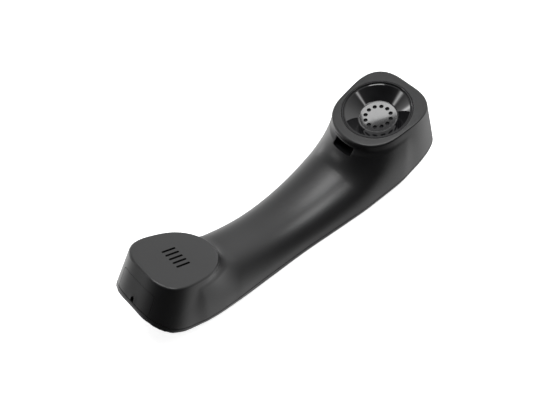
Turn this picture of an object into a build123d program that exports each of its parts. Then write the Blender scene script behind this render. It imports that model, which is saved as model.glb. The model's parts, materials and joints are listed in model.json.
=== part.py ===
from build123d import *
import math
import os

# Telephone handset, lying on its back: +X is the ear end, +Z is up, the origin is under its middle.
# The forms are drawn in the drawing's own axes and turned at the end, so that the handset rests at its balance point.

# Casing, in millimetres
wall = 2.2
back_depth = 4.9
reach = 60.0

# Flat pads that meet the face: centre, slope, and the outline's radius as a short cosine series
mouth_x, mouth_z, mouth_slope = -75.9, 42.6, -20.8
mouth_series = (22.7, 1.4, 1.3, -0.72, 0.3)
mouth_flare = 0.13
ear_x, ear_z, ear_slope = 72.0, 53.5, 11.3
ear_series = (26.33, 1.1, -1.02, -1.25, -0.1)
ear_flare = 0.06

# Side view of the joint between the casings, and the handle's crown and half width
parting_points = [(-125, 38.9), (-108, 33.1), (-102, 27.0), (-95, 21.0), (-82, 12.9), (-60, 5.7), (-30, 2.6),
                  (0, 3.9), (30, 6.8), (55, 10.7), (78, 16.3), (106, 26.3), (125, 34.0)]
handle_stations = [(-86, 35.3, 21.1), (-72, 33.2, 21.4), (-60, 31.0, 21.3), (-45, 28.1, 19.8), (-28, 24.4, 18.9),
                   (-10, 22.7, 19.1), (10, 24.2, 20.4), (24, 27.2, 22.0), (36, 31.3, 23.7), (46, 36.2, 24.6),
                   (56, 40.4, 23.7), (66, 42.9, 22.7), (78, 44.5, 21.8)]
keel_stations = [(-116, 25.6), (-98, 26.4), (-86, 24.4), (-72, 22.7), (-58, 22.3), (-40, 22.6), (0, 23.1),
                 (30, 23.6), (48, 24.8), (62, 25.4), (76, 25.6), (94, 23.7), (116, 18.3)]
keel_power = 4.4
shoulder = 4.0
crown_power = 2.3
section_points = 16

# Ear end: glossy bowl, its ring of holes, and the receiver under it
bowl_shift = -0.7
bowl_radius = 20.9
bowl_step = 1.0
bowl_depth = 7.2
bowl_floor_radius = 9.6
bowl_wall = 1.4
hole_count = 12
hole_radius = 1.2
hole_ring = 7.6
capsule_top = 10.4
capsule_radius = 17.0
retainer_screw_angles = (45, -45)
retainer_screw_ring = 22.2

# Hook slot under the ear pad
hook_width = 14.0
hook_height = 6.0
hook_depth = 9.0
hook_x, hook_z = 44.0, 40.4

# Mouth end: microphone, removable end cover and cord jack
inlet_rows = 5
inlet_pitch = 3.2
inlet_width = 1.3
inlet_length = 9.0
mic_radius = 4.85
mic_height = 5.6
boot_radius = 6.6
cover_half_width = 13.2
cover_top = -7.6
cover_gap = 0.2
cord_slot_width = 2.4
cord_slot_top = -17.4
jack_face = -19.4
jack_length = 11.4
jack_width = 13.0
jack_top, jack_bottom = -11.4, -22.0
socket_width = 7.8
socket_height = 7.4
socket_depth = 10.0
contact_pitch = 1.02
board_thickness = 1.2

# Handle: screws, ballast and wiring
case_screw_xs = (-47.0, 37.0)
case_boss_radius = 3.4
screw_radius = 1.1
head_radius = 2.2
ballast_x, ballast_length, ballast_width, ballast_height, ballast_bottom = -5.0, 54.0, 18.0, 5.0, 5.4
ballast_screw_shift = 22.0
lead_radius = 0.5
lead_sides = (6.0, 8.0)

# Turn about Y and move from the drawing to the resting handset
rest_tilt = 5.2
shift_x, shift_z = -1.16, 0.75


def pad_plane(x, z, slope):
    """Plane of a pad: local X runs along the handset, local Z leaves the pad outwards."""
    t = math.radians(slope)
    return Plane(origin=(x, 0, z), x_dir=(math.cos(t), 0, math.sin(t)), z_dir=(-math.sin(t), 0, math.cos(t)))


mouth = pad_plane(mouth_x, mouth_z, mouth_slope)
ear = pad_plane(ear_x, ear_z, ear_slope)


def series_radius(series, angle):
    """Radius of a pad's outline at an angle from its local X."""
    mean, oval, egg, square, nose = series
    return (mean + oval * math.cos(2 * angle) + egg * math.cos(3 * angle)
            + square * math.cos(4 * angle) + nose * math.cos(5 * angle))


def pad_outline(series, offset, level):
    """Closed outline of a pad, grown by an offset, at a level of its own plane."""
    points = []
    for k in range(32):
        angle = 2 * math.pi * k / 32
        r = series_radius(series, angle) + offset
        points.append(Vector(r * math.cos(angle), r * math.sin(angle), level))
    return Wire([Edge.make_spline(points, periodic=True)])


def pad_block(plane, series, flare, inset):
    """Block under a pad, with walls that flare a little towards the back."""
    top = pad_outline(series, -inset, -inset)
    bottom = pad_outline(series, flare * reach - inset, -reach)
    return plane * Solid.make_loft([top, bottom], ruled=True)


def parting_curve():
    """Side view of the joint between the casings."""
    return Edge.make_spline([Vector(x, 0, z) for x, z in parting_points])


def parting_height(x):
    """Height of the joint between the casings at a place along the handset."""
    low, high = 0.0, 1.0
    curve = parting_curve()
    for _ in range(30):
        middle = (low + high) / 2
        if (curve @ middle).X < x:
            low = middle
        else:
            high = middle
    return (curve @ low).Z


def handle_section(station, inset):
    """Section of the handle: upright sides under a rounded crown."""
    x, crown, width = station
    width = width - inset
    crown = crown - inset
    base = parting_height(x) + shoulder
    points = [Vector(x, width, base)]
    for k in range(1, section_points):
        t = math.pi * k / section_points
        side = math.copysign(abs(math.cos(t)) ** (2 / crown_power), math.cos(t))
        rise = math.sin(t) ** (2 / crown_power)
        points.append(Vector(x, width * side, base + (crown - base) * rise))
    points.append(Vector(x, -width, base))
    top = Edge.make_spline(points, tangents=[Vector(0, 0, 1), Vector(0, 0, -1)], scale=False)
    left = Edge.make_line(Vector(x, -width, base), Vector(x, -width, -10))
    floor = Edge.make_line(Vector(x, -width, -10), Vector(x, width, -10))
    right = Edge.make_line(Vector(x, width, -10), Vector(x, width, base))
    return Wire([top, left, floor, right])


def above():
    """Everything over the joint line."""
    curve = parting_curve()
    start, end = curve @ 0, curve @ 1
    corner_a = Vector(end.X, 0, 90)
    corner_b = Vector(start.X, 0, 90)
    wire = Wire([curve, Edge.make_line(end, corner_a), Edge.make_line(corner_a, corner_b),
                 Edge.make_line(corner_b, start)])
    return Pos(0, -40, 0) * Solid.extrude(Face(wire), Vector(0, 80, 0))


def keel_section(station, inset):
    """Section of the rounded back, open upwards: a half oval under the joint line."""
    x, width = station
    width = width - inset
    base = parting_height(x)
    depth = back_depth - inset
    points = [Vector(x, -width, base)]
    for k in range(1, section_points):
        t = math.pi * k / section_points
        side = math.copysign(abs(math.cos(t)) ** (2 / keel_power), math.cos(t))
        points.append(Vector(x, -width * side, base - depth * math.sin(t) ** (2 / keel_power)))
    points.append(Vector(x, width, base))
    oval = Edge.make_spline(points, tangents=[Vector(0, 0, -1), Vector(0, 0, 1)], scale=False)
    right = Edge.make_line(Vector(x, width, base), Vector(x, width, 90))
    top = Edge.make_line(Vector(x, width, 90), Vector(x, -width, 90))
    left = Edge.make_line(Vector(x, -width, 90), Vector(x, -width, base))
    return Wire([oval, right, top, left])


def resting_cut():
    """Everything under the small flat that the handset stands on."""
    return Rot(0, -rest_tilt, 0) * (Pos(12, 0, -shift_z - 5) * Box(80, 60, 10))


def casing_body(inset):
    """Whole outer form of the handset, shrunk by an inset."""
    blocks = pad_block(mouth, mouth_series, mouth_flare, inset) + pad_block(ear, ear_series, ear_flare, inset)
    handle = Solid.make_loft([handle_section(station, inset) for station in handle_stations])
    keel = Solid.make_loft([keel_section(station, inset) for station in keel_stations])
    return (blocks + handle) & keel


def box(plane, u, v, w):
    """Box in a pad's plane from pairs of limits."""
    size = Box(u[1] - u[0], v[1] - v[0], w[1] - w[0])
    return plane * (Pos((u[0] + u[1]) / 2, (v[0] + v[1]) / 2, (w[0] + w[1]) / 2) * size)


def disc(plane, u, v, radius, w, bore=0.0):
    """Round plate or ring in a pad's plane between two levels."""
    shape = Cylinder(radius, w[1] - w[0])
    if bore:
        shape = shape - Cylinder(bore, w[1] - w[0])
    return plane * (Pos(u, v, (w[0] + w[1]) / 2) * shape)


def rod(x, y, z, radius, bore=0.0):
    """Upright round post or tube between two heights."""
    shape = Cylinder(radius, z[1] - z[0])
    if bore:
        shape = shape - Cylinder(bore, z[1] - z[0])
    return Pos(x, y, (z[0] + z[1]) / 2) * shape


def crown_height(x):
    """Height of the handle's top at a place along it."""
    for (x0, z0, _), (x1, z1, _) in zip(handle_stations, handle_stations[1:]):
        if x0 <= x <= x1:
            return z0 + (z1 - z0) * (x - x0) / (x1 - x0)
    raise ValueError("no handle there")


def cover_window(gap):
    """Block that cuts the end cover out of the mouth end's wall, grown by a gap."""
    width = cover_half_width + gap
    block = box(mouth, (-40, -17), (-width, width), (-40, cover_top + gap))
    corners = [e for e in block.edges() if abs(e.center().Y) > width - 0.01 and e.length > 20]
    upper = sorted(corners, key=lambda e: -e.center().Z)[:2]
    return fillet(upper, 2.5)


def wall_place(across, level):
    """Local X of the mouth end's outer wall, at a distance across and a level of the pad's plane."""
    near, far = math.pi / 2, math.pi
    for _ in range(24):
        angle = (near + far) / 2
        radius = series_radius(mouth_series, angle) - mouth_flare * level
        if radius * math.sin(angle) > abs(across):
            near = angle
        else:
            far = angle
    return radius * math.cos(angle)


def joint_level(across):
    """Level in the mouth pad's plane where the joint line crosses the outer wall."""
    low, high = -30.0, -12.0
    for _ in range(20):
        level = (low + high) / 2
        place = mouth.from_local_coords(Vector(wall_place(across, level), across, level))
        if place.Z < parting_height(place.X):
            low = level
        else:
            high = level
    return level


def cover_foot():
    """Block under the end cover, with a top that runs straight inwards from the joint line."""
    edge = [Vector(-40, across, joint_level(across) + cover_gap) for across in (-18, -12, -6, 0, 6, 12, 18)]
    right, left = Vector(-40, 18, -60), Vector(-40, -18, -60)
    wire = Wire([Edge.make_spline(edge), Edge.make_line(edge[-1], right), Edge.make_line(right, left),
                 Edge.make_line(left, edge[0])])
    return mouth * Solid.extrude(Face(wire), Vector(30, 0, 0))


def cord_slot():
    """Slot in the end cover that the cord comes out of."""
    half_width = cord_slot_width / 2
    return box(mouth, (-40, -10), (-half_width, half_width), (-40, cord_slot_top))


def hook_cavity(grow):
    """Pocket behind the slot that the cradle's hook goes into, grown by a wall."""
    shape = Box(hook_depth + 2 * grow, hook_width + 2 * grow, hook_height + 2 * grow)
    return Pos(hook_x + hook_depth / 2, 0, hook_z) * shape


def front_shell(outer, inner):
    """Front casing with both pads, its seats and bosses."""
    shell = (outer - inner) & above()
    seat = disc(ear, bowl_shift, 0, bowl_radius + 1.2, (-4.2, -1.7), bowl_radius - 1.4)
    pocket = hook_cavity(1.4) & outer
    shell = shell + (seat & outer) + pocket
    for angle in retainer_screw_angles:
        t = math.radians(angle)
        u, v = retainer_screw_ring * math.cos(t), retainer_screw_ring * math.sin(t)
        shell = shell + disc(ear, u, v, 2.6, (-15.4, -wall + 0.1))
        shell = shell - disc(ear, u, v, screw_radius, (-15.4, -6.0))
    shell = shell + disc(mouth, 0, 0, boot_radius + 1.4, (-9.0, -wall + 0.1), boot_radius + 0.1)
    for side in (-1, 1):
        boss = disc(mouth, -5, side * 11.5, 2.4, (jack_bottom + 0.05, -wall + 0.1))
        shell = shell + boss - disc(mouth, -5, side * 11.5, screw_radius, (jack_bottom + 0.05, jack_bottom + 8))
    for x in case_screw_xs:
        boss = rod(x, 0, (parting_height(x) + 1.5, crown_height(x) - 1.5), case_boss_radius)
        shell = shell + boss - rod(x, 0, (parting_height(x) + 1.5, parting_height(x) + 12), screw_radius)
    shell = shell - disc(ear, bowl_shift, 0, bowl_radius + 0.1, (-1.7, 5)) - hook_cavity(0)
    shell = shell - disc(ear, bowl_shift, 0, bowl_radius - 1.4, (-4.5, 5))
    for row in range(inlet_rows):
        v = (row - (inlet_rows - 1) / 2) * inlet_pitch
        slot = SlotOverall(inlet_length, inlet_width)
        shell = shell - mouth * (Pos(0, v, -wall - 1) * extrude(slot, wall + 3))
    return shell - cover_window(cover_gap)


def back_shell(outer, inner):
    """Back casing with its screw posts and the ribs under the ballast."""
    shell = (outer - inner) - above()
    for x in case_screw_xs:
        post = rod(x, 0, (-2, parting_height(x) + 1.4), case_boss_radius)
        shell = shell + (post & outer)
        shell = shell - rod(x, 0, (-5, parting_height(x) - 1.6), head_radius + 0.2)
        shell = shell - rod(x, 0, (-5, parting_height(x) + 2), screw_radius + 0.2)
    for shift in (-ballast_screw_shift, ballast_screw_shift):
        rib = Pos(ballast_x + shift, 0, ballast_bottom / 2 - 3) * Box(6, ballast_width, ballast_bottom + 6)
        shell = shell + (rib & outer)
        shell = shell - rod(ballast_x + shift, 0, (2.4, ballast_bottom + 1), screw_radius)
    return shell


def end_cover(outer, inner):
    """Removable cover over the cord jack, cut from the end wall."""
    return ((outer - inner) & cover_window(0)) - cover_foot() - cord_slot()


def receiver_cap():
    """Glossy bowl round the ear, with a ring of small holes in its floor."""
    rim = bowl_radius
    edge = rim - bowl_step
    lip = edge - bowl_step
    floor = bowl_floor_radius
    under = -bowl_depth - bowl_wall
    inside = ThreePointArc((floor, -bowl_depth), (lip - 3.1, 2.2 - bowl_depth), (lip, -1.1))
    outside = ThreePointArc((lip, -2.2), (lip - 2.1, 1.2 - bowl_depth), (floor + 1, under))
    rim_line = Polyline((lip, -1.1), (edge, -0.9), (edge, -0.3), (rim, 0), (rim, -1.6), (rim - 1.5, -1.6),
                        (lip, -2.2))
    floor_line = Polyline((floor + 1, under), (0, under), (0, -bowl_depth), (floor, -bowl_depth))
    profile = make_face(Plane.XZ * (inside + rim_line + outside + floor_line))
    bowl = revolve(profile, Axis.Z)
    for k in range(hole_count):
        angle = 2 * math.pi * k / hole_count
        hole = Cylinder(hole_radius, 6)
        bowl = bowl - Pos(hole_ring * math.cos(angle), hole_ring * math.sin(angle), -bowl_depth) * hole
    return ear * (Pos(bowl_shift, 0, 0) * bowl)


def at_capsule(radius, levels, bore=0.0):
    """Round piece of the receiver, with levels counted down from the capsule's top."""
    top = -capsule_top
    return disc(ear, bowl_shift, 0, radius, (top - levels[1], top - levels[0]), bore)


def receiver_frame():
    """Moulded ring that carries the diaphragm and the magnet system."""
    ring = at_capsule(capsule_radius, (0, 5), capsule_radius - 1.2)
    shelf = at_capsule(capsule_radius - 1, (3.8, 5), 11.1)
    return ring + shelf


def receiver_yoke():
    """Steel cup round the magnet."""
    return at_capsule(11, (3.8, 9.6), 9.6) + at_capsule(11, (8.4, 9.6))


def retainer():
    """Ring with two ears that holds the capsule against the bowl."""
    plate = at_capsule(capsule_radius + 1.2, (5.05, 6.4), 11.4)
    top = -capsule_top
    for angle in retainer_screw_angles:
        t = math.radians(angle)
        u, v = retainer_screw_ring * math.cos(t), retainer_screw_ring * math.sin(t)
        arm = Rot(0, 0, angle) * Pos(19.6, 0, top - 5.725) * Box(5.2, 5.0, 1.35)
        plate = plate + ear * arm + disc(ear, u, v, 2.5, (top - 6.4, top - 5.05))
        plate = plate - disc(ear, u, v, screw_radius + 0.2, (top - 7, top - 4))
    return plate


def screw(length):
    """Pan-head screw pointing up, its head's seat at zero."""
    head = Pos(0, 0, -0.7) * Cylinder(head_radius, 1.4)
    shank = Pos(0, 0, length / 2) * Cylinder(screw_radius, length)
    return head + shank


def group(pieces):
    """Several like pieces that share one node."""
    return Compound(children=list(pieces))


def retainer_screws():
    """Two screws through the retainer's ears."""
    pieces = []
    for angle in retainer_screw_angles:
        t = math.radians(angle)
        u, v = retainer_screw_ring * math.cos(t), retainer_screw_ring * math.sin(t)
        pieces.append(ear * (Pos(u, v, -capsule_top - 6.4) * screw(8)))
    return group(pieces)


def jack_housing():
    """Modular socket for the cord's plug, open towards the end cover."""
    body = box(mouth, (jack_face, jack_face + jack_length), (-jack_width / 2, jack_width / 2),
               (jack_bottom + 0.05, jack_top))
    middle = (jack_top + jack_bottom) / 2
    half_width = socket_width / 2
    hollow = box(mouth, (jack_face - 1, jack_face + socket_depth), (-half_width, half_width),
                 (middle - socket_height / 2, middle + socket_height / 2))
    latch = box(mouth, (jack_face - 1, jack_face + 6), (-1.8, 1.8), (jack_bottom + 0.7, middle))
    return body - hollow - latch


def jack_contacts():
    """Four sprung contacts on the socket's roof."""
    middle = (jack_top + jack_bottom) / 2
    roof = middle + socket_height / 2
    pieces = []
    for k in range(4):
        v = (k - 1.5) * contact_pitch
        pieces.append(box(mouth, (jack_face + 2, jack_face + 9), (v - 0.2, v + 0.2), (roof - 0.7, roof)))
    return group(pieces)


def jack_board():
    """Small circuit board under the jack."""
    board = box(mouth, (jack_face + 2, -1.5), (-13.5, 13.5), (jack_bottom - board_thickness, jack_bottom))
    for side in (-1, 1):
        board = board - disc(mouth, -5, side * 11.5, screw_radius + 0.2, (jack_bottom - 3, jack_bottom + 1))
    return board


def board_screws():
    """Two screws that hold the board to the front casing."""
    pieces = [mouth * (Pos(-5, side * 11.5, jack_bottom - board_thickness) * screw(6)) for side in (-1, 1)]
    return group(pieces)


def microphone_boot():
    """Rubber cup that seals the microphone to its inlet."""
    cup = disc(mouth, 0, 0, boot_radius, (-9.6, -wall - 0.4), mic_radius + 0.05)
    lip = disc(mouth, 0, 0, boot_radius, (-wall - 0.8, -wall - 0.4), 3.0)
    return cup + lip


def case_screws():
    """Two long screws that join the casings."""
    return group(Pos(x, 0, parting_height(x) - 1.6) * screw(10) for x in case_screw_xs)


def ballast_weight():
    """Steel bar that gives the handle its weight."""
    bar = Box(ballast_length, ballast_width, ballast_height)
    bar = fillet(bar.edges().filter_by(Axis.Z), 2)
    bar = Pos(ballast_x, 0, ballast_bottom + ballast_height / 2) * bar
    for shift in (-ballast_screw_shift, ballast_screw_shift):
        bar = bar - rod(ballast_x + shift, 0, (0, 20), screw_radius + 0.2)
    return bar


def ballast_screws():
    """Two screws that hold the bar to its ribs, heads up."""
    top = ballast_bottom + ballast_height
    flip = Rot(180, 0, 0)
    return group(Pos(ballast_x + shift, 0, top) * flip * screw(7.5)
                 for shift in (-ballast_screw_shift, ballast_screw_shift))


def tube(points, radius):
    """Round wire of straight runs joined by tangent arcs."""
    turns = []
    for a, b, c in zip(points, points[1:], points[2:]):
        first, second = Vector(*b) - Vector(*a), Vector(*c) - Vector(*b)
        turn = math.radians(first.get_angle(second))
        turns.append(0.45 * min(first.length, second.length) / math.tan(turn / 2))
    path = FilletPolyline(*points, radius=turns)
    section = Plane(origin=path @ 0, z_dir=path % 0) * Circle(radius)
    wire = sweep(section, path=path)
    print("lead", round(path.length, 1), "volume", round(wire.volume / (math.pi * radius**2 * path.length), 3),
          "radii", [round(r, 1) for r in turns])
    return wire


def receiver_lead(y):
    """Wire from the board along the handle to the receiver's tabs."""
    start = mouth.from_local_coords(Vector(-1.5, 0, jack_bottom - board_thickness / 2))
    end = ear.from_local_coords(Vector(-9.2, 0, -capsule_top - 10.2))
    middle = [(-76, 18.4), (-58, 13.6), (-30, 13.0), (8, 12.6), (34, 15.6), (52, 22.4)]
    points = [(start.X, y, start.Z)] + [(x, y, z) for x, z in middle] + [(end.X, y, end.Z)]
    return tube(points, lead_radius)


def receiver_tabs():
    """Strip with the two solder points behind the yoke."""
    top = -capsule_top - 9.6
    return box(ear, (-9.0, -3.0), (lead_sides[0] - 7.5, lead_sides[1] + 1.5), (top - 1.2, top))


def microphone_lead(y):
    """Short wire from the board up to the microphone."""
    low = jack_bottom
    points = [(-4.6, y, low), (-4.4, y, low + 4.5), (-2.2, y, low + 8.5), (-2.0, y, -wall - 0.8 - mic_height)]
    places = [mouth.from_local_coords(Vector(*p)) for p in points]
    return tube([(p.X, p.Y, p.Z) for p in places], lead_radius * 0.8)


def main():
    """Write every piece to its own file."""
    outer = casing_body(0) - resting_cut()
    inner = casing_body(wall)
    pieces = {
        "front_shell": front_shell(outer, inner),
        "back_shell": back_shell(outer, inner),
        "end_cover": end_cover(outer, inner),
        "receiver_cap": receiver_cap(),
        "receiver_cloth": disc(ear, bowl_shift, 0, 10.2, (-bowl_depth - bowl_wall - 0.3, -bowl_depth - bowl_wall)),
        "receiver_gasket": disc(ear, bowl_shift, 0, 14.5, (-capsule_top, -bowl_depth - bowl_wall), 10.4),
        "receiver_frame": receiver_frame(),
        "receiver_diaphragm": at_capsule(capsule_radius - 1.3, (1.6, 1.9)),
        "receiver_voice_coil": at_capsule(8.9, (1.9, 6.4), 8.3),
        "receiver_top_plate": at_capsule(7.9, (3.8, 5.2)),
        "receiver_magnet": at_capsule(7.4, (5.2, 8.4)),
        "receiver_yoke": receiver_yoke(),
        "receiver_retainer": retainer(),
        "retainer_screws": retainer_screws(),
        "receiver_tabs": receiver_tabs(),
        "microphone_cloth": disc(mouth, 0, 0, boot_radius - 0.1, (-wall - 0.4, -wall)),
        "microphone_boot": microphone_boot(),
        "microphone_capsule": disc(mouth, 0, 0, mic_radius, (-wall - 0.8 - mic_height, -wall - 0.8)),
        "jack_housing": jack_housing(),
        "jack_contacts": jack_contacts(),
        "jack_board": jack_board(),
        "board_screws": board_screws(),
        "ballast_weight": ballast_weight(),
        "ballast_screws": ballast_screws(),
        "case_screws": case_screws(),
        "receiver_lead_red": receiver_lead(lead_sides[0]),
        "receiver_lead_black": receiver_lead(lead_sides[1]),
        "microphone_lead_green": microphone_lead(1.4),
        "microphone_lead_yellow": microphone_lead(-1.4),
    }
    os.makedirs("parts", exist_ok=True)
    for name, shape in pieces.items():
        solids = [Pos(shift_x, 0, shift_z) * Rot(0, rest_tilt, 0) * solid for solid in shape.solids()]
        export_step(Compound(solids) if len(solids) > 1 else solids[0], f"parts/{name}.step")


main()
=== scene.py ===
import json
import math

import bmesh
import bpy
import numpy as np
from mathutils import Matrix, Vector


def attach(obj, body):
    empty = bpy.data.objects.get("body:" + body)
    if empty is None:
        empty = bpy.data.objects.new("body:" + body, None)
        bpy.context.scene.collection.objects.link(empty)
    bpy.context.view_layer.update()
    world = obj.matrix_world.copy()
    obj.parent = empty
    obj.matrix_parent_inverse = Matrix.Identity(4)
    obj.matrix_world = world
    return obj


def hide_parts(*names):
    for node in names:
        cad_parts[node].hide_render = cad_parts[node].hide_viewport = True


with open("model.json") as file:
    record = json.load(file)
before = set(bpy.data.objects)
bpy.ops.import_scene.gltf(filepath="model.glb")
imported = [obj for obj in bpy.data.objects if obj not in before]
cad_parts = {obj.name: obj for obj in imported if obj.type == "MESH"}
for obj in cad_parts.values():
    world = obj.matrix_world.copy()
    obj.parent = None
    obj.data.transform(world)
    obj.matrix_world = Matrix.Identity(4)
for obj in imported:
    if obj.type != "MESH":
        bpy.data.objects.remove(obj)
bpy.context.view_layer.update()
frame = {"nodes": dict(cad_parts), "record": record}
scene = bpy.context.scene
scene.view_settings.view_transform = "Standard"
print("frame loaded:", len(frame["nodes"]), "nodes")

# The casing is drawn in millimetres on its own axes, then turned and moved to where the handset rests.
mm = 0.001
rest = {"tilt": 5.2, "shift": (-1.16, 0, 0.75)}
resting = Matrix.Translation(rest["shift"]) @ Matrix.Rotation(math.radians(rest["tilt"]), 4, "Y")

view = {
    "place": (-0.17391, -0.2561, 0.43941),
    "right": (0.7509, -0.653, -0.1015),
    "back": (-0.3278, -0.501, 0.8),
    "lens": 59.15,
    "sensor": 36,
}


def placeCamera():
    camera = bpy.data.objects.new("camera", bpy.data.cameras.new("camera"))
    scene.collection.objects.link(camera)
    back = Vector(view["back"]).normalized()
    right = Vector(view["right"])
    right = (right - right.dot(back) * back).normalized()
    turn = Matrix((right, back.cross(right), back)).transposed().to_4x4()
    camera.matrix_world = Matrix.Translation(view["place"]) @ turn
    camera.data.lens = view["lens"]
    camera.data.sensor_width = view["sensor"]
    scene.camera = camera


placeCamera()

lamps = {  # aimed place, direction and distance from there, size and power
    "overhead": {"aim": (0, 0, 0), "to": (0.029, 0.2, 0.981), "away": 1.2, "size": (0.5, 0.5), "power": 6.0},
    "front": {"aim": (0, 0, 0), "to": (0.151, -0.42, 0.89), "away": 1.2, "size": (0.46, 0.46), "power": 4.6},
    "sparkle": {"aim": (0.079, 0.003, 0.042), "to": (0.304, 0.481, 0.822), "away": 1.2, "size": (0.07, 0.035),
                "power": 0.068},
}
glows = {  # soft light and narrow strips from the studio's walls: direction, sharpness and strength
    "right": ((0.806, 0.07, 0.579), 3.2, 1.7),
    "behind": ((-0.13, 0.97, -0.209), 4.2, 2.3),
    "lowRight": ((0.69, -0.42, -0.585), 8.7, 1.25),
    "below": ((0.1, 0.1, -0.99), 9.0, 1.0),
    "stripFront": ((0.204, -0.685, 0.699), 700, 6.5),
    "stripBack": ((-0.698, 0.56, 0.446), 260, 6.5),
    "stripFar": ((-0.173, 0.977, 0.126), 260, 5.5),
    "stripSide": ((0.924, 0.381, -0.014), 260, 4.0),
}
studio = {
    "fill": 0.01,
    "floorColour": 0.8,
    "floorRoughness": 0.9,
    "floorGlow": 0.75,
    "floorSize": 6.0,
    "floorDrop": 0.0002,
}


def placeLamps():
    for name, values in lamps.items():
        light = bpy.data.lights.new(name, "AREA")
        light.shape = "RECTANGLE"
        light.size, light.size_y = values["size"]
        light.energy = values["power"]
        lamp = bpy.data.objects.new(name, light)
        scene.collection.objects.link(lamp)
        toward = Vector(values["to"]).normalized()
        lamp.location = Vector(values["aim"]) + toward * values["away"]
        lamp.rotation_euler = (-toward).to_track_quat("-Z", "Y").to_euler()


def mathNode(nodes, operation, *values):  # a Math node, with numbers for its inputs from the second on
    node = nodes.new("ShaderNodeMath")
    node.operation = operation
    for socket, value in zip(node.inputs[1:], values):
        socket.default_value = value
    return node


def makeWorld():
    world = bpy.data.worlds.new("studio")
    scene.world = world
    world.use_nodes = True
    nodes, links = world.node_tree.nodes, world.node_tree.links
    place = nodes.new("ShaderNodeTexCoord")
    total = None
    for direction, sharpness, strength in glows.values():
        facing = nodes.new("ShaderNodeVectorMath")
        facing.operation = "DOT_PRODUCT"
        facing.inputs[1].default_value = Vector(direction).normalized()
        fall = mathNode(nodes, "MULTIPLY_ADD", sharpness, -sharpness)
        soft = mathNode(nodes, "EXPONENT")
        level = mathNode(nodes, "MULTIPLY_ADD", strength, studio["fill"])
        links.new(place.outputs["Generated"], facing.inputs[0])
        links.new(facing.outputs["Value"], fall.inputs[0])
        links.new(fall.outputs[0], soft.inputs[0])
        links.new(soft.outputs[0], level.inputs[0])
        if total:
            links.new(total, level.inputs[2])
        total = level.outputs[0]
    room = nodes["Background"]
    room.inputs["Color"].default_value = (1, 1, 1, 1)
    links.new(total, room.inputs["Strength"])
    bright = nodes.new("ShaderNodeBackground")
    path = nodes.new("ShaderNodeLightPath")
    mix = nodes.new("ShaderNodeMixShader")
    links.new(path.outputs["Is Camera Ray"], mix.inputs["Fac"])
    links.new(room.outputs[0], mix.inputs[1])
    links.new(bright.outputs[0], mix.inputs[2])
    links.new(mix.outputs[0], nodes["World Output"].inputs["Surface"])


def whitePaper():  # pale to the camera, clear to gloss and shadow rays, so that low light passes it
    material = bpy.data.materials.new("whitePaper")
    material.use_nodes = True
    nodes, links = material.node_tree.nodes, material.node_tree.links
    paper = nodes["Principled BSDF"]
    shade = studio["floorColour"]
    paper.inputs["Base Color"].default_value = (shade, shade, shade, 1)
    paper.inputs["Roughness"].default_value = studio["floorRoughness"]
    paper.inputs["Specular IOR Level"].default_value = 0.0
    glow = nodes.new("ShaderNodeEmission")
    glow.inputs["Strength"].default_value = studio["floorGlow"]
    both = nodes.new("ShaderNodeAddShader")
    clear = nodes.new("ShaderNodeBsdfTransparent")
    path = nodes.new("ShaderNodeLightPath")
    through = mathNode(nodes, "MAXIMUM")
    passing = nodes.new("ShaderNodeMixShader")
    mix = nodes.new("ShaderNodeMixShader")
    links.new(path.outputs["Is Glossy Ray"], through.inputs[0])
    links.new(path.outputs["Is Shadow Ray"], through.inputs[1])
    links.new(through.outputs[0], passing.inputs["Fac"])
    links.new(paper.outputs[0], passing.inputs[1])
    links.new(clear.outputs[0], passing.inputs[2])
    links.new(paper.outputs[0], both.inputs[0])
    links.new(glow.outputs[0], both.inputs[1])
    links.new(path.outputs["Is Camera Ray"], mix.inputs["Fac"])
    links.new(passing.outputs[0], mix.inputs[1])
    links.new(both.outputs[0], mix.inputs[2])
    links.new(mix.outputs[0], nodes["Material Output"].inputs["Surface"])
    return material


def makeFloor():
    bm = bmesh.new()
    bmesh.ops.create_grid(bm, x_segments=1, y_segments=1, size=studio["floorSize"] / 2)
    bmesh.ops.translate(bm, verts=bm.verts[:], vec=(0, 0, -studio["floorDrop"]))
    mesh = bpy.data.meshes.new("floor")
    bm.to_mesh(mesh)
    bm.free()
    mesh.materials.append(whitePaper())
    floor = bpy.data.objects.new("floor", mesh)
    scene.collection.objects.link(floor)


placeLamps()
makeWorld()
makeFloor()
print("camera, lamps and floor placed")

surface = {  # the part of a noise's range that a finish uses, and how deep its bumps are in metres
    "roughRange": (0.3, 0.7),
    "colourRange": (0.35, 0.65),
    "bumpDepth": 0.0001,
}


def newMaterial(name):
    material = bpy.data.materials.new(name)
    material.use_nodes = True
    tree = material.node_tree
    return material, tree.nodes, tree.links, tree.nodes["Principled BSDF"]


def grainNoise(nodes, links, scale, detail=4.0, stretch=(1, 1, 1)):
    place = nodes.new("ShaderNodeTexCoord")
    mapping = nodes.new("ShaderNodeMapping")
    mapping.inputs["Scale"].default_value = stretch
    noise = nodes.new("ShaderNodeTexNoise")
    noise.inputs["Scale"].default_value = scale
    noise.inputs["Detail"].default_value = detail
    links.new(place.outputs["Object"], mapping.inputs["Vector"])
    links.new(mapping.outputs["Vector"], noise.inputs["Vector"])
    return noise.outputs["Fac"]


def roughnessFrom(nodes, links, factor, low, high):
    ramp = nodes.new("ShaderNodeMapRange")
    ramp.inputs["From Min"].default_value, ramp.inputs["From Max"].default_value = surface["roughRange"]
    ramp.inputs["To Min"].default_value = low
    ramp.inputs["To Max"].default_value = high
    links.new(factor, ramp.inputs["Value"])
    return ramp.outputs["Result"]


def colourFrom(nodes, links, factor, low, high, start, end):
    ramp = nodes.new("ShaderNodeValToRGB")
    for element, position, colour in zip(ramp.color_ramp.elements, (start, end), (low, high)):
        element.position = position
        element.color = (*colour, 1)
    links.new(factor, ramp.inputs["Fac"])
    return ramp.outputs["Color"]


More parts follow.
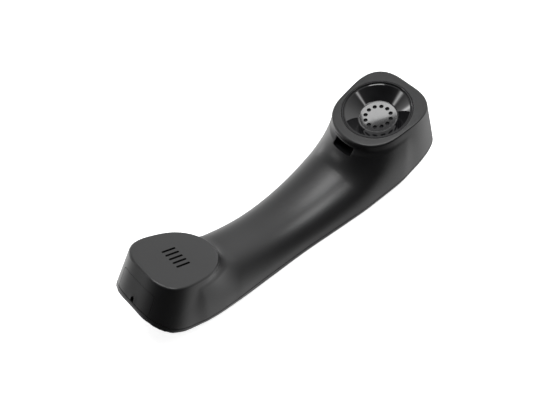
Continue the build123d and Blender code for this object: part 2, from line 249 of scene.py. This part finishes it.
def bumpFrom(nodes, links, factor, strength):
    bump = nodes.new("ShaderNodeBump")
    bump.inputs["Strength"].default_value = strength
    bump.inputs["Distance"].default_value = surface["bumpDepth"]
    links.new(factor, bump.inputs["Height"])
    return bump.outputs["Normal"]


plastics = {  # darkest and lightest colour, roughness, grain's scale and strength, scale of the slow change
    "casing": {"low": (0.0048, 0.0048, 0.0052), "high": (0.0068, 0.0068, 0.0073), "rough": (0.32, 0.38),
               "grain": 5200, "bump": 0.1, "cloud": 30},
    "bowl": {"low": (0.0045, 0.0045, 0.005), "high": (0.007, 0.007, 0.0078), "rough": (0.03, 0.05),
             "grain": 900, "bump": 0.006, "cloud": 160},
    "inner_plastic": {"low": (0.45, 0.45, 0.42), "high": (0.55, 0.55, 0.52), "rough": (0.4, 0.55),
                      "grain": 2400, "bump": 0.06, "cloud": 90},
    "rubber": {"low": (0.02, 0.02, 0.022), "high": (0.035, 0.035, 0.038), "rough": (0.7, 0.85),
               "grain": 2600, "bump": 0.15, "cloud": 120},
    "membrane": {"low": (0.55, 0.5, 0.36), "high": (0.66, 0.62, 0.48), "rough": (0.2, 0.35),
                 "grain": 700, "bump": 0.05, "cloud": 100},
    "magnet": {"low": (0.06, 0.06, 0.065), "high": (0.11, 0.11, 0.115), "rough": (0.5, 0.7),
               "grain": 3200, "bump": 0.12, "cloud": 200},
    "board": {"low": (0.36, 0.26, 0.1), "high": (0.46, 0.34, 0.15), "rough": (0.45, 0.6),
              "grain": 1800, "bump": 0.08, "cloud": 260},
    "wire_red": {"low": (0.42, 0.015, 0.015), "high": (0.52, 0.03, 0.025), "rough": (0.25, 0.35),
                 "grain": 1500, "bump": 0.04, "cloud": 300},
    "wire_black": {"low": (0.012, 0.012, 0.013), "high": (0.022, 0.022, 0.024), "rough": (0.25, 0.35),
                   "grain": 1500, "bump": 0.04, "cloud": 300},
    "wire_green": {"low": (0.015, 0.2, 0.05), "high": (0.03, 0.28, 0.08), "rough": (0.25, 0.35),
                   "grain": 1500, "bump": 0.04, "cloud": 300},
    "wire_yellow": {"low": (0.6, 0.4, 0.03), "high": (0.7, 0.5, 0.06), "rough": (0.25, 0.35),
                    "grain": 1500, "bump": 0.04, "cloud": 300},
}
grainDetail = 2.0


def mouldedPlastic(slot):
    values = plastics[slot]
    material, nodes, links, shader = newMaterial(slot)
    cloud = grainNoise(nodes, links, values["cloud"])
    grain = grainNoise(nodes, links, values["grain"], grainDetail)
    colour = colourFrom(nodes, links, cloud, values["low"], values["high"], *surface["colourRange"])
    links.new(colour, shader.inputs["Base Color"])
    links.new(roughnessFrom(nodes, links, cloud, *values["rough"]), shader.inputs["Roughness"])
    links.new(bumpFrom(nodes, links, grain, values["bump"]), shader.inputs["Normal"])
    return material


metals = {
    "steel": {"low": (0.42, 0.42, 0.43), "high": (0.6, 0.6, 0.61), "rough": (0.22, 0.4)},
    "copper": {"low": (0.55, 0.24, 0.1), "high": (0.72, 0.34, 0.16), "rough": (0.3, 0.45)},
    "contact": {"low": (0.72, 0.5, 0.18), "high": (0.85, 0.62, 0.25), "rough": (0.15, 0.28)},
    "capsule": {"low": (0.62, 0.62, 0.63), "high": (0.75, 0.75, 0.76), "rough": (0.25, 0.4)},
}
brushing = {"scale": 1500, "detail": 3.0, "stretch": (0.06, 1, 1), "bump": 0.08, "cloud": 150}


def brushedMetal(slot):
    values = metals[slot]
    material, nodes, links, shader = newMaterial(slot)
    shader.inputs["Metallic"].default_value = 1.0
    lines = grainNoise(nodes, links, brushing["scale"], brushing["detail"], brushing["stretch"])
    cloud = grainNoise(nodes, links, brushing["cloud"])
    colour = colourFrom(nodes, links, cloud, values["low"], values["high"], *surface["colourRange"])
    links.new(colour, shader.inputs["Base Color"])
    links.new(roughnessFrom(nodes, links, lines, *values["rough"]), shader.inputs["Roughness"])
    links.new(bumpFrom(nodes, links, lines, brushing["bump"]), shader.inputs["Normal"])
    return material


cloth = {
    "pitch": 0.00045,
    "thread": (0.03, 0.03, 0.033),
    "gap": (0.006, 0.006, 0.007),
    "edge": (0.05, 0.5),  # where a gap turns into thread on the wave
    "waviness": 0.4,
    "roughness": 0.85,
    "bump": 0.5,
}
metreWave = 0.314  # a band texture at this scale repeats once a metre


def wovenCloth():
    material, nodes, links, shader = newMaterial("cloth")
    place = nodes.new("ShaderNodeTexCoord")
    weave = mathNode(nodes, "MULTIPLY")
    for direction, socket in zip(("X", "Y"), weave.inputs):
        wave = nodes.new("ShaderNodeTexWave")
        wave.bands_direction = direction
        wave.inputs["Scale"].default_value = metreWave / cloth["pitch"]
        wave.inputs["Distortion"].default_value = cloth["waviness"]
        links.new(place.outputs["Object"], wave.inputs["Vector"])
        links.new(wave.outputs["Fac"], socket)
    colour = colourFrom(nodes, links, weave.outputs[0], cloth["gap"], cloth["thread"], *cloth["edge"])
    links.new(colour, shader.inputs["Base Color"])
    shader.inputs["Roughness"].default_value = cloth["roughness"]
    links.new(bumpFrom(nodes, links, weave.outputs[0], cloth["bump"]), shader.inputs["Normal"])
    return material


materials = {slot: mouldedPlastic(slot) for slot in plastics}
materials.update({slot: brushedMetal(slot) for slot in metals})
materials["cloth"] = wovenCloth()
for part in frame["record"]["subparts"]:
    mesh = frame["nodes"][part["node"]].data
    mesh.materials.clear()
    mesh.materials.append(materials[part["material_slot"]])
print("materials made:", len(materials))

pads = {  # each pad's centre, slope and flare, its outline's cosine series, the run of the sections under it
    "mouth": {"x": -75.9, "z": 42.6, "slope": -20.8, "flare": 0.13, "series": (22.7, 1.4, 1.3, -0.72, 0.3),
              "tip": 24.98, "end": -21.8, "pivot": 32.5, "firstTurn": 11},
    "ear": {"x": 72.0, "z": 53.5, "slope": 11.3, "flare": 0.06, "series": (26.33, 1.1, -1.02, -1.25, -0.1),
            "tip": -27.3, "end": 25.1, "pivot": -38.2, "firstTurn": 7},
}
casing = {
    "parting": [(-125, 38.9), (-108, 33.1), (-102, 27.0), (-95, 21.0), (-82, 12.9), (-60, 5.7), (-30, 2.6),
                (0, 3.9), (30, 6.8), (55, 10.7), (78, 16.3), (106, 26.3), (125, 34.0)],
    "handle": [(-86, 35.3, 21.1), (-72, 33.2, 21.4), (-60, 31.0, 21.3), (-45, 28.1, 19.8), (-28, 24.4, 18.9),
               (-10, 22.7, 19.1), (10, 24.2, 20.4), (24, 27.2, 22.0), (36, 31.3, 23.7), (46, 36.2, 24.6),
               (56, 40.4, 23.7), (66, 42.9, 22.7), (78, 44.5, 21.8)],
    "keel": [(-116, 25.6), (-98, 26.4), (-86, 24.4), (-72, 22.7), (-58, 22.3), (-40, 22.6), (0, 23.1),
             (30, 23.6), (48, 24.8), (62, 25.4), (76, 25.6), (94, 23.7), (116, 18.3)],
    "lowestCrown": 1.0,
    "depth": 4.9,
    "keelPower": 4.4,
    "shoulder": 4.0,
    "crownPower": 2.3,
    "mouthBlend": 12.8,
    "earBlend": 15.9,
    "firstBlend": 1,
    "blendGrowth": 2,
    "backBlend": 3.0,
    "wall": 2.2,
    "joint": 0.5,
    "padEdge": 1.2,
    "padEdgeSteps": 4,
    "padInset": 2.5,
    "edge": 0.2,
    "smooth": 32,
}
sections = {  # how finely the casing's skin is laid over its form, and the rays that find it
    "columns": 120,
    "capRings": 6,
    "padRings": 56,
    "handleRings": 50,
    "firstDepth": 1.3,
    "runIn": 6,
    "overCrown": 4,
    "sideways": 22.0,
    "furthest": 2.0,
    "rayLength": 130,
    "rayStep": 0.2,
    "halvings": 34,
    "curveSteps": 2400,
    "onLine": 0.03,  # a point this near to a cut counts as on it
}


def curveThrough(points):  # natural cubic through the points, kept as a fine table
    xs, ys = np.array(points, float).T
    count = len(xs)
    step = np.diff(xs)
    system, right = np.eye(count), np.zeros(count)
    for i in range(1, count - 1):
        system[i, i - 1: i + 2] = step[i - 1], 2 * (step[i - 1] + step[i]), step[i]
        right[i] = 6 * ((ys[i + 1] - ys[i]) / step[i] - (ys[i] - ys[i - 1]) / step[i - 1])
    bend = np.linalg.solve(system, right)
    at = np.linspace(xs[0], xs[-1], sections["curveSteps"])
    i = np.clip(np.searchsorted(xs, at) - 1, 0, count - 2)
    t, u, h = at - xs[i], xs[i + 1] - at, step[i]
    table = ((bend[i] * u**3 + bend[i + 1] * t**3) / (6 * h) + (ys[i] / h - bend[i] * h / 6) * u
             + (ys[i + 1] / h - bend[i + 1] * h / 6) * t)
    return lambda x: np.interp(x, at, table)


parting = curveThrough(casing["parting"])
crown = curveThrough([(x, z) for x, z, _ in casing["handle"]])
handleHalf = curveThrough([(x, half) for x, _, half in casing["handle"]])
keelHalf = curveThrough(casing["keel"])


def padRadius(pad, angle):
    mean, oval, egg, square, nose = pad["series"]
    return (mean + oval * np.cos(2 * angle) + egg * np.cos(3 * angle) + square * np.cos(4 * angle)
            + nose * np.cos(5 * angle))


def padFrame(pad):  # centre, direction along the handset, direction out of the pad
    slope = math.radians(pad["slope"])
    along = Vector((math.cos(slope), 0, math.sin(slope)))
    return Vector((pad["x"], 0, pad["z"])), along, Vector((-along.z, 0, along.x))


def padPlace(pad, x, z):  # place along the pad and level over it
    centre, along, out = padFrame(pad)
    return [(x - centre.x) * axis.x + (z - centre.z) * axis.z for axis in (along, out)]


def blockGap(pad, x, y, z):
    u, w = padPlace(pad, x, z)
    return np.hypot(u, y) - padRadius(pad, np.arctan2(y, u)) + pad["flare"] * w


def domeGap(side, rise, half, tall, power):  # how far outside a rounded section
    tiny = 1e-9
    a, b = np.abs(side) / half, np.maximum(rise, 0) / tall
    g = (a**power + b**power) ** (1 / power)
    share = np.where(g > tiny, (a / np.maximum(g, tiny)) ** 2, 0)
    return (g - 1) * (tall + (half - tall) * share)


def handleGap(x, y, z):
    base = parting(x) + casing["shoulder"]
    tall = np.maximum(crown(x) - base, casing["lowestCrown"])
    dome = domeGap(y, z - base, handleHalf(x), tall, casing["crownPower"])
    return dome + np.maximum(pads["mouth"]["x"] - x, 0) + np.maximum(x - pads["ear"]["x"], 0)


def flatGap(x, z):  # the small flat that the handset rests on
    turn = math.radians(rest["tilt"])
    return x * math.sin(turn) - z * math.cos(turn) - rest["shift"][2]


def blendShare(a, b, reach):  # 1 where two surfaces meet, 0 from a reach away
    return np.maximum(reach - np.abs(a - b), 0) / reach


def bodyGap(x, y, z):  # below zero inside the casing
    mouthSide = x < 0
    depth = -np.where(mouthSide, padPlace(pads["mouth"], x, z)[1], padPlace(pads["ear"], x, z)[1])
    block = np.where(mouthSide, blockGap(pads["mouth"], x, y, z), blockGap(pads["ear"], x, y, z))
    handle = handleGap(x, y, z)
    widest = np.where(mouthSide, casing["mouthBlend"], casing["earBlend"])
    reach = np.clip(casing["firstBlend"] + casing["blendGrowth"] * depth, casing["firstBlend"], widest)
    top = np.minimum(block, handle) - blendShare(block, handle, reach)**2 * reach / 4
    keel = domeGap(y, parting(x) - z, keelHalf(x), casing["depth"], casing["keelPower"])
    keel = np.maximum(keel, flatGap(x, z))
    return np.maximum(top, keel) + blendShare(top, keel, casing["backBlend"])**2 * casing["backBlend"] / 4


def padFan(pad, side):  # sections under a pad, from its face to upright at its pivot
    centre, along, out = padFrame(pad)
    first, fan = math.radians(pad["firstTurn"]), []
    for k in range(sections["capRings"]):
        t = k / sections["capRings"]
        near = -sections["firstDepth"] * (1 - t) - abs(pad["pivot"] - pad["tip"]) * math.tan(first) * t
        far = -sections["firstDepth"] * (1 - t) - abs(pad["pivot"] - pad["end"]) * math.tan(first) * t
        tip = centre + along * pad["tip"] + out * near
        end = centre + along * pad["end"] + out * far
        line = (end - tip).normalized()
        fan.append((tip - line * sections["runIn"], line))
    pivot = centre + along * pad["pivot"]
    flat = math.atan2(-side * along.z, -side * along.x)
    sweep = math.pi / 2 + abs(math.radians(pad["slope"]))
    for k in range(sections["padRings"] + 1):
        angle = flat + side * (first + (sweep - first) * k / sections["padRings"])
        fan.append((pivot, Vector((math.cos(angle), 0, math.sin(angle)))))
    return fan


def sectionPlanes():  # start and direction of each section, from the mouth pad to the ear pad
    mouthFan, earFan = padFan(pads["mouth"], 1), padFan(pads["ear"], -1)
    low, high = mouthFan[-1][0].x, earFan[-1][0].x
    middle = []
    for k in range(1, sections["handleRings"]):
        x = low + (high - low) * k / sections["handleRings"]
        middle.append((Vector((x, 0, float(crown(x)) + sections["overCrown"])), Vector((0, 0, -1))))
    return mouthFan + middle + earFan[::-1]


def sectionPoints(start, line, gap):  # where rays from a section's middle meet the surface
    q = np.arange(0, sections["rayLength"], sections["rayStep"])
    inside = gap(start.x + q * line.x, 0 * q, start.z + q * line.z) < 0
    first = int(np.argmax(inside))
    last = first + int(np.argmin(inside[first:]))
    middle, reach = (q[first] + q[last]) / 2, (q[last] - q[first]) / 2
    angle = 2 * np.pi * np.arange(sections["columns"]) / sections["columns"]
    across, sideways = -reach * np.cos(angle), sections["sideways"] * np.sin(angle)
    low, high = np.zeros(len(angle)), np.full(len(angle), sections["furthest"])
    for _ in range(sections["halvings"]):
        s = (low + high) / 2
        along = middle + s * across
        out = gap(start.x + along * line.x, s * sideways, start.z + along * line.z) > 0
        low, high = np.where(out, low, s), np.where(out, s, high)
    along = middle + low * across
    return np.stack([start.x + along * line.x, low * sideways, start.z + along * line.z], 1)


def padRing(pad, shrink):  # a pad's outline, in the same columns as the sections
    centre, along, _ = padFrame(pad)
    points = sectionPoints(centre + along * pad["pivot"], along * (-1 if pad["pivot"] > 0 else 1),
                           lambda x, y, z: blockGap(pad, x, y, z))
    u, v = padPlace(pad, points[:, 0], points[:, 2])[0], points[:, 1]
    away = np.hypot(u, v)
    return ringOnPad(pad, u * (1 - shrink / away), v * (1 - shrink / away))


def circleRing(pad, shift, radius):  # a circle on a pad, in the columns of its outline
    points = padRing(pad, 0)
    u, v = padPlace(pad, points[:, 0], points[:, 2])[0] - shift, points[:, 1]
    away = np.hypot(u, v)
    return ringOnPad(pad, shift + u / away * radius, v / away * radius)


def ringOnPad(pad, u, v):
    centre, along, _ = padFrame(pad)
    return np.stack([centre.x + u * along.x, v, centre.z + u * along.z], 1)


def loopEdges(bm, ring):
    return [bm.edges.get((a, b)) for a, b in zip(ring, ring[1:] + ring[:1])]


def growRing(bm, ring, points):  # extrudes a ring's edges and places the new ring
    made = bmesh.ops.extrude_edge_only(bm, edges=loopEdges(bm, ring))["geom"]
    fresh = {g for g in made if isinstance(g, bmesh.types.BMVert)}
    grown = [next(e.other_vert(v) for e in v.link_edges if e.other_vert(v) in fresh) for v in ring]
    for vert, place in zip(grown, points):
        vert.co = place
    return grown


inlet = {"rows": 5, "pitch": 3.2, "width": 1.3, "length": 9.0, "segments": 28}


def inletEdges(bm):  # slots with round ends in the mouth pad
    centre, along, _ = padFrame(pads["mouth"])
    edges = []
    for row in range(inlet["rows"]):
        v = (row - (inlet["rows"] - 1) / 2) * inlet["pitch"]
        slot = bmesh.ops.create_circle(bm, segments=inlet["segments"], radius=inlet["width"] / 2)["verts"]
        reach = (inlet["length"] - inlet["width"]) / 2
        for vert in slot:
            u = vert.co.x + math.copysign(reach, vert.co.x)
            vert.co = centre + along * u + Vector((0, v + vert.co.y, 0))
        edges += loopEdges(bm, slot)
    return edges


def casingForm():
    mouth, ear = pads["mouth"], pads["ear"]
    rings = [padRing(mouth, casing["padInset"]), padRing(mouth, 0)]
    rings += [sectionPoints(start, line, bodyGap) for start, line in sectionPlanes()]
    rings += [padRing(ear, 0), circleRing(ear, bowl["shift"], bowl["radius"] + bowl["clear"])]
    bm = bmesh.new()
    ring = bmesh.ops.create_circle(bm, segments=sections["columns"], radius=1)["verts"]
    for vert, place in zip(ring, rings[0]):
        vert.co = place
    kept = [ring]
    for points in rings[1:]:
        ring = growRing(bm, ring, points)
        kept.append(ring)
    bmesh.ops.triangle_fill(bm, use_beauty=True, edges=loopEdges(bm, kept[0]) + inletEdges(bm),
                            normal=padFrame(mouth)[2])
    rims = loopEdges(bm, kept[1]) + loopEdges(bm, kept[-2])
    bmesh.ops.bevel(bm, geom=rims, offset=casing["padEdge"], offset_type="OFFSET", profile=0.5,
                    segments=casing["padEdgeSteps"], affect="EDGES", clamp_overlap=True, material=-1)
    bmesh.ops.recalc_face_normals(bm, faces=bm.faces[:])
    return bm


def cutAlong(bm, level):  # splits the mesh's faces where level is zero
    places = np.array([v.co for v in bm.verts])
    values = level(places[:, 0], places[:, 1], places[:, 2])
    values[np.abs(values) < sections["onLine"]] = 0
    bm.verts.index_update()
    onLine = [v for v in bm.verts if values[v.index] == 0]
    crossing = [(e, values[e.verts[0].index], values[e.verts[1].index]) for e in bm.edges]
    for edge, a, b in crossing:
        if a * b < 0:
            onLine.append(bmesh.utils.edge_split(edge, edge.verts[0], a / (a - b))[1])
    bmesh.ops.connect_verts(bm, verts=onLine)


def removeWhere(bm, level, sign):  # cuts, then takes away the faces on one side
    cutAlong(bm, level)
    middle = np.array([f.calc_center_median() for f in bm.faces])
    values = level(middle[:, 0], middle[:, 1], middle[:, 2])
    gone = [f for f, value in zip(bm.faces, values) if value * sign > 0]
    bmesh.ops.delete(bm, geom=gone, context="FACES")


cover = {
    "halfWidth": 13.2,
    "top": -7.6,
    "corner": 2.5,
    "seam": 0.16,
    "slotHalf": 1.15,
    "slotTop": -17.4,
    "slotCorner": 0.5,
    "reach": 30,  # how far the window and the slot run on under their tops
    "outside": 10,  # how far from the pad's centre the end wall is looked for
    "edge": 0.15,
}
hook = {
    "x": 44,
    "z": 41.0,
    "half": 7.0,
    "halfHeight": 2.4,
    "corner": 0.5,
    "end": 53.0,
    "floorDrop": 4.5,
    "near": ((40, 50), (-8, 8), (36, 45)),  # box in which the slot's rim lies
    "reach": 8,
}
screws = {"xs": (-47.0, 37.0), "headHole": 2.4, "shankHole": 1.3, "seat": 1.6, "near": 4}


def roundedBox(a, b, halfA, halfB, corner):
    p, q = np.abs(a) - halfA + corner, np.abs(b) - halfB + corner
    return np.hypot(np.maximum(p, 0), np.maximum(q, 0)) + np.minimum(np.maximum(p, q), 0) - corner


def coverLevel(grow):
    def level(x, y, z):
        u, w = padPlace(pads["mouth"], x, z)
        window = roundedBox(y, w - cover["top"] + cover["reach"], cover["halfWidth"] + grow,
                            cover["reach"] + grow, cover["corner"])
        return np.maximum(window, u + cover["outside"])
    return level


def cordSlotLevel(x, y, z):
    u, w = padPlace(pads["mouth"], x, z)
    slot = roundedBox(y, w - cover["slotTop"] + cover["reach"], cover["slotHalf"], cover["reach"],
                      cover["slotCorner"])
    return np.maximum(slot, u + cover["outside"])


def hookLevel(x, y, z):
    slot = roundedBox(y, z - hook["z"], hook["half"], hook["halfHeight"], hook["corner"])
    return np.maximum(slot, np.abs(x - hook["x"]) - hook["reach"])


def partingLevel(lift):
    return lambda x, y, z: z - parting(x) - lift


def openRim(bm, near):  # boundary edges whose middles pass a test
    return [e for e in bm.edges if e.is_boundary and near((e.verts[0].co + e.verts[1].co) / 2)]


def pushRim(bm, rim, place):  # extrudes a rim, moves its new points and gives the new rim
    made = bmesh.ops.extrude_edge_only(bm, edges=rim)["geom"]
    fresh = {g for g in made if isinstance(g, bmesh.types.BMVert)}
    for vert in fresh:
        vert.co = place(vert.co)
    return [g for g in made if isinstance(g, bmesh.types.BMEdge) and all(v in fresh for v in g.verts)]


def bakeModifiers(piece):
    shaped = bpy.data.meshes.new_from_object(piece.evaluated_get(bpy.context.evaluated_depsgraph_get()))
    piece.modifiers.clear()
    piece.data = shaped
    shaped.name = piece.name


rounding = {"segments": 2, "angle": 50}


def makePiece(name, bm, body, slot, nodes, thickness, edge, smooth):
    bmesh.ops.transform(bm, matrix=Matrix.Scale(mm, 4) @ resting, verts=bm.verts[:])
    mesh = bpy.data.meshes.new(name)
    bm.to_mesh(mesh)
    bm.free()
    piece = bpy.data.objects.new(name, mesh)
    scene.collection.objects.link(piece)
    wall = piece.modifiers.new("wall", "SOLIDIFY")
    wall.thickness = thickness * mm
    wall.offset = -1
    wall.use_even_offset = True
    soften = piece.modifiers.new("edges", "BEVEL")
    soften.width = edge * mm
    soften.segments = rounding["segments"]
    soften.limit_method = "ANGLE"
    soften.angle_limit = math.radians(rounding["angle"])
    bakeModifiers(piece)
    piece.data.shade_smooth()
    piece.data.set_sharp_from_angle(angle=math.radians(smooth))
    weigh = piece.modifiers.new("normals", "WEIGHTED_NORMAL")  # flat faces stay flat beside rounded edges
    weigh.keep_sharp = True
    bakeModifiers(piece)
    piece.data.materials.clear()
    piece.data.materials.append(materials[slot])
    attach(piece, body)
    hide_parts(*nodes)
    print("made", name, len(piece.data.polygons), "faces")


def pocketPlace(point):  # the pocket's far end, whose floor drops so that the slot looks dark
    drop = hook["floorDrop"] if point.z < hook["z"] else 0
    return Vector((hook["end"], point.y, point.z - drop))


def makeFront(front):
    removeWhere(front, coverLevel(cover["seam"] / 2), -1)
    removeWhere(front, hookLevel, -1)
    rim = openRim(front, lambda p: all(low < at < high for at, (low, high) in zip(p, hook["near"])))
    bmesh.ops.edgeloop_fill(front, edges=pushRim(front, rim, pocketPlace))
    bmesh.ops.recalc_face_normals(front, faces=front.faces[:])
    makePiece("frontCasing", front, "handset", "casing", ["front_shell"], casing["wall"], casing["edge"],
              casing["smooth"])


def makeCover(lid):
    removeWhere(lid, coverLevel(-cover["seam"] / 2), 1)
    removeWhere(lid, cordSlotLevel, -1)
    makePiece("endCover", lid, "cord_cover", "casing", ["end_cover"], casing["wall"], cover["edge"],
              casing["smooth"])


def screwRecess(back, x):  # a round recess with the shank's hole in its floor
    def drawnTo(radius):
        def place(point):
            share = radius / math.hypot(point.x - x, point.y)
            return Vector((x + (point.x - x) * share, point.y * share, float(parting(x)) - screws["seat"]))
        return place

    removeWhere(back, lambda px, py, pz: np.hypot(px - x, py) - screws["headHole"], -1)
    rim = openRim(back, lambda p: math.hypot(p.x - x, p.y) < screws["near"])
    for radius in (screws["headHole"], screws["shankHole"]):
        rim = pushRim(back, rim, drawnTo(radius))


def makeBack(back):
    removeWhere(back, partingLevel(-casing["joint"] / 2), 1)
    for x in screws["xs"]:
        screwRecess(back, x)
    makePiece("backCasing", back, "handset", "casing", ["back_shell"], casing["wall"], casing["edge"],
              casing["smooth"])


def makeCasing():
    front = casingForm()
    back = front.copy()
    removeWhere(front, partingLevel(casing["joint"] / 2), -1)
    lid = front.copy()
    makeFront(front)
    makeCover(lid)
    makeBack(back)


bowl = {
    "shift": -0.7,
    "radius": 20.9,
    "clear": 0.1,
    "rim": [(0, -1.6), (0, -0.2), (0.2, 0), (0.75, 0), (1.0, -0.2), (1.0, -0.8), (1.2, -1.0), (2.0, -1.1)],
    "wallSteps": 6,
    "firstLean": 40,
    "leanRounds": 20,
    "fillet": 1.2,
    "filletSteps": 8,
    "floorEdge": 0.1,
    "floorRadius": 11.0,
    "depth": 7.2,
    "holes": 12,
    "holeRadius": 1.2,
    "holeRing": 7.6,
    "holeSegments": 24,
    "steps": 144,
    "wall": 1.3,
    "edge": 0.12,
    "smooth": 18,
}


def bowlProfile():  # radius and level, from the rim's foot over its steps and down the wall to the floor
    points = [(bowl["radius"] - inset, level) for inset, level in bowl["rim"]]
    lip, top = points[-1]
    floor, fillet, foot = -bowl["depth"], bowl["fillet"], bowl["floorRadius"] + bowl["floorEdge"]
    lean = math.radians(bowl["firstLean"])
    for _ in range(bowl["leanRounds"]):  # the wall's lean, so that it meets the fillet smoothly
        lean = math.atan2(top - floor - fillet * (1 - math.cos(lean)), lip - foot - fillet * math.sin(lean))
    wallFoot, wallEnd = foot + fillet * math.sin(lean), floor + fillet * (1 - math.cos(lean))
    for k in range(1, bowl["wallSteps"]):
        t = k / bowl["wallSteps"]
        points.append((lip + (wallFoot - lip) * t, top + (wallEnd - top) * t))
    for k in range(bowl["filletSteps"] + 1):
        turn = lean * (1 - k / bowl["filletSteps"])
        points.append((foot + fillet * math.sin(turn), floor + fillet * (1 - math.cos(turn))))
    points.append((bowl["floorRadius"], floor))
    return points


def makeBowl():
    centre, along, out = padFrame(pads["ear"])
    bm = bmesh.new()
    line = [bm.verts.new((radius, 0, level)) for radius, level in bowlProfile()]
    edges = [bm.edges.new(pair) for pair in zip(line, line[1:])]
    bmesh.ops.spin(bm, geom=line + edges, cent=(0, 0, 0), axis=(0, 0, 1), angle=2 * math.pi,
                   steps=bowl["steps"], use_merge=True)
    floor, near = -bowl["depth"], 1e-3
    inner = [e for e in bm.edges if e.is_boundary and all(abs(v.co.z - floor) < near for v in e.verts)]
    for k in range(bowl["holes"]):
        angle = 2 * math.pi * k / bowl["holes"]
        place = (bowl["holeRing"] * math.cos(angle), bowl["holeRing"] * math.sin(angle), floor)
        ring = bmesh.ops.create_circle(bm, segments=bowl["holeSegments"], radius=bowl["holeRadius"])["verts"]
        bmesh.ops.translate(bm, verts=ring, vec=place)
        inner += loopEdges(bm, ring)
    bmesh.ops.triangle_fill(bm, use_beauty=True, edges=inner, normal=(0, 0, 1))
    bmesh.ops.recalc_face_normals(bm, faces=bm.faces[:])
    lowest = min(bm.faces, key=lambda f: f.calc_center_median().z + f.calc_center_median().xy.length)
    if lowest.normal.z < 0:
        bmesh.ops.reverse_faces(bm, faces=bm.faces[:])
    turn = Matrix((along, Vector((0, 1, 0)), out)).transposed().to_4x4()
    place = Matrix.Translation(centre + along * bowl["shift"]) @ turn
    bmesh.ops.transform(bm, matrix=place, verts=bm.verts[:])
    makePiece("earBowl", bm, "handset", "bowl", ["receiver_cap"], bowl["wall"], bowl["edge"],
              bowl["smooth"])


makeCasing()
makeBowl()
